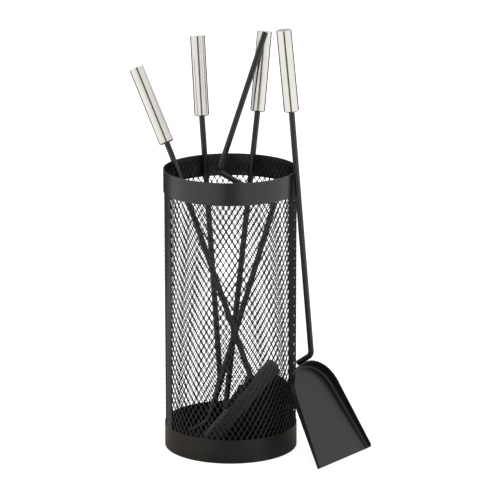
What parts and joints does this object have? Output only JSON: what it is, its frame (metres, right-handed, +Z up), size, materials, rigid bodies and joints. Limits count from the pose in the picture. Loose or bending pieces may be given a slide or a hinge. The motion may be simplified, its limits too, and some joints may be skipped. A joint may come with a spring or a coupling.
{
  "type": "fireplace tool set",
  "caption": "Black mesh fireside basket holding a brush, poker and scissor tongs, with a shovel leaning on its rim; steel tube handles.",
  "frame": {"origin": "centre of the basket's underside, on the floor", "axes": "+X right and +Y back as seen from the front, +Z up the basket's centre line"},
  "size_m": [0.2719, 0.1888, 0.4831],
  "materials": {
    "black_steel": "satin",
    "mesh_steel": "satin",
    "stainless_steel": "satin",
    "brush_wood": "satin",
    "bristles": "matte",
    "fixings": "satin"
  },
  "bodies": {
    "basket": {"base_plate": "black_steel", "bottom_band": "black_steel", "top_band": "black_steel", "mesh_front": "mesh_steel", "mesh_rear": "mesh_steel", "seam_strip_left": "black_steel", "seam_strip_right": "black_steel"},
    "brush": {"brush_rod": "black_steel", "brush_handle_tube": "stainless_steel", "brush_handle_cap": "stainless_steel", "brush_handle_bush": "stainless_steel", "brush_block": "brush_wood", "brush_screws": "fixings", "brush_bristles": "bristles"},
    "poker": {"poker_rod": "black_steel", "poker_handle_tube": "stainless_steel", "poker_handle_cap": "stainless_steel", "poker_handle_bush": "stainless_steel"},
    "tongs": {"tongs_rod": "black_steel", "tongs_spacer": "black_steel", "tongs_rivet": "fixings", "tongs_handle_tube": "stainless_steel", "tongs_handle_cap": "stainless_steel", "tongs_handle_bush": "stainless_steel"},
    "tongs_lever": {"tongs_lever": "black_steel"},
    "shovel": {"shovel_pan": "black_steel", "shovel_rod": "black_steel", "shovel_handle_tube": "stainless_steel", "shovel_handle_cap": "stainless_steel", "shovel_handle_bush": "stainless_steel"}
  },
  "joints": [
    {"name": "brush_lift", "type": "slide", "parent": "basket", "child": "brush", "axis": [-0.0597, 0.0796, 0.995], "range_m": [0, 0.35]},
    {"name": "poker_lift", "type": "slide", "parent": "basket", "child": "poker", "axis": [-0.03, 0, 0.9996], "range_m": [0, 0.35]},
    {"name": "tongs_lift", "type": "slide", "parent": "basket", "child": "tongs", "axis": [0.0298, 0.1191, 0.9924], "range_m": [0, 0.35]},
    {"name": "tongs_open", "type": "hinge", "parent": "tongs", "child": "tongs_lever", "pos_m": [0.02169, 0.04315, 0.28745], "axis": [0.0159, -0.9893, 0.1451], "range_deg": [0, 16]},
    {"name": "shovel_lift", "type": "slide", "parent": "basket", "child": "shovel", "axis": [0.0399, -0.035, 0.9986], "range_m": [0, 0.35]}
  ]
}
